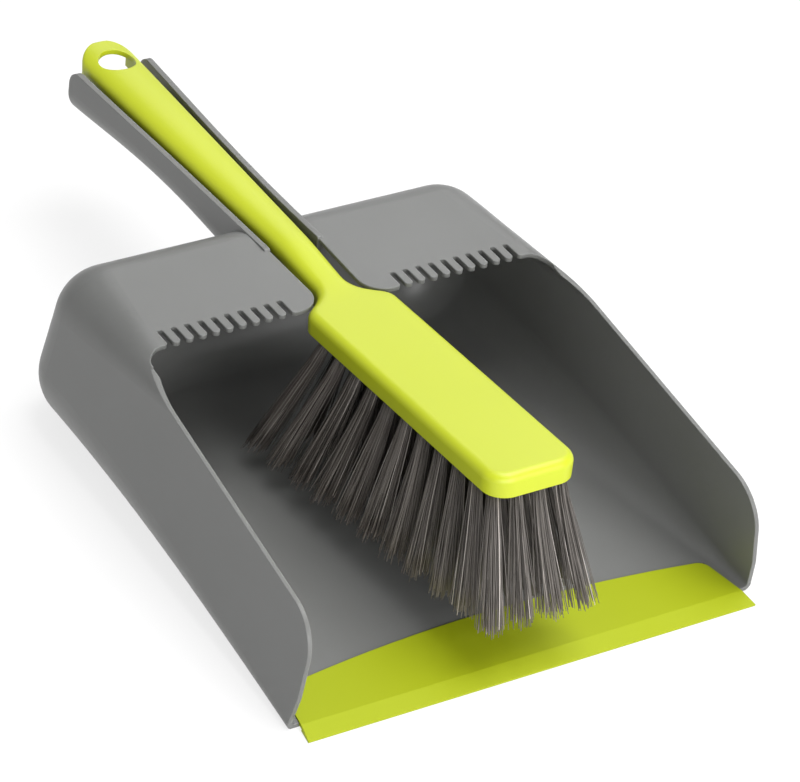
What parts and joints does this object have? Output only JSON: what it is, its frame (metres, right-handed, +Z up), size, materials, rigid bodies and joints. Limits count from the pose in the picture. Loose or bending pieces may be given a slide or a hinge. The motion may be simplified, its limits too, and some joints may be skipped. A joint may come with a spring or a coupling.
{
  "type": "dust pan and hand brush set",
  "caption": "Hooded dust pan with a soft front lip, a comb and an open channel handle, and a hand brush with separate bristle tufts that lies in the channel.",
  "frame": {"origin": "on the pan's flat base face, on the centre line, midway between the lip's front edge and the foot of the back wall", "axes": "+Z up, +X across the pan, +Y from the lip towards the handle"},
  "size_m": [0.2386, 0.4046, 0.0937],
  "materials": {
    "grey_plastic": "satin moulded polypropylene",
    "lime_soft_plastic": "satin soft plastic",
    "lime_plastic": "satin moulded polypropylene",
    "bristles": "drawn polymer bristles, slightly glossy",
    "staple_wire": "flat steel wire"
  },
  "bodies": {
    "pan": {"pan": "grey_plastic", "lip_strip": "lime_soft_plastic"},
    "brush": {"brush_body": "lime_plastic", "anchor_staples": "staple_wire", "tuft_row01_a": "bristles", "tuft_row01_b": "bristles", "tuft_row01_c": "bristles", "tuft_row01_d": "bristles", "tuft_row02_a": "bristles", "tuft_row02_b": "bristles", "tuft_row02_c": "bristles", "tuft_row02_d": "bristles", "tuft_row03_a": "bristles", "tuft_row03_b": "bristles", "tuft_row03_c": "bristles", "tuft_row03_d": "bristles", "tuft_row04_a": "bristles", "tuft_row04_b": "bristles", "tuft_row04_c": "bristles", "tuft_row04_d": "bristles", "tuft_row05_a": "bristles", "tuft_row05_b": "bristles", "tuft_row05_c": "bristles", "tuft_row05_d": "bristles", "tuft_row06_a": "bristles", "tuft_row06_b": "bristles", "tuft_row06_c": "bristles", "tuft_row06_d": "bristles", "tuft_row07_a": "bristles", "tuft_row07_b": "bristles", "tuft_row07_c": "bristles", "tuft_row07_d": "bristles", "tuft_row08_a": "bristles", "tuft_row08_b": "bristles", "tuft_row08_c": "bristles", "tuft_row08_d": "bristles", "tuft_row09_a": "bristles", "tuft_row09_b": "bristles", "tuft_row09_c": "bristles", "tuft_row09_d": "bristles", "tuft_row10_a": "bristles", "tuft_row10_b": "bristles", "tuft_row10_c": "bristles", "tuft_row10_d": "bristles", "tuft_row11_a": "bristles", "tuft_row11_b": "bristles", "tuft_row11_c": "bristles", "tuft_row11_d": "bristles"}
  },
  "joints": [
    {"name": "brush_lift", "type": "slide", "parent": "pan", "child": "brush", "axis": [0, -0.5, 0.866], "range_m": [0, 0.13]}
  ]
}
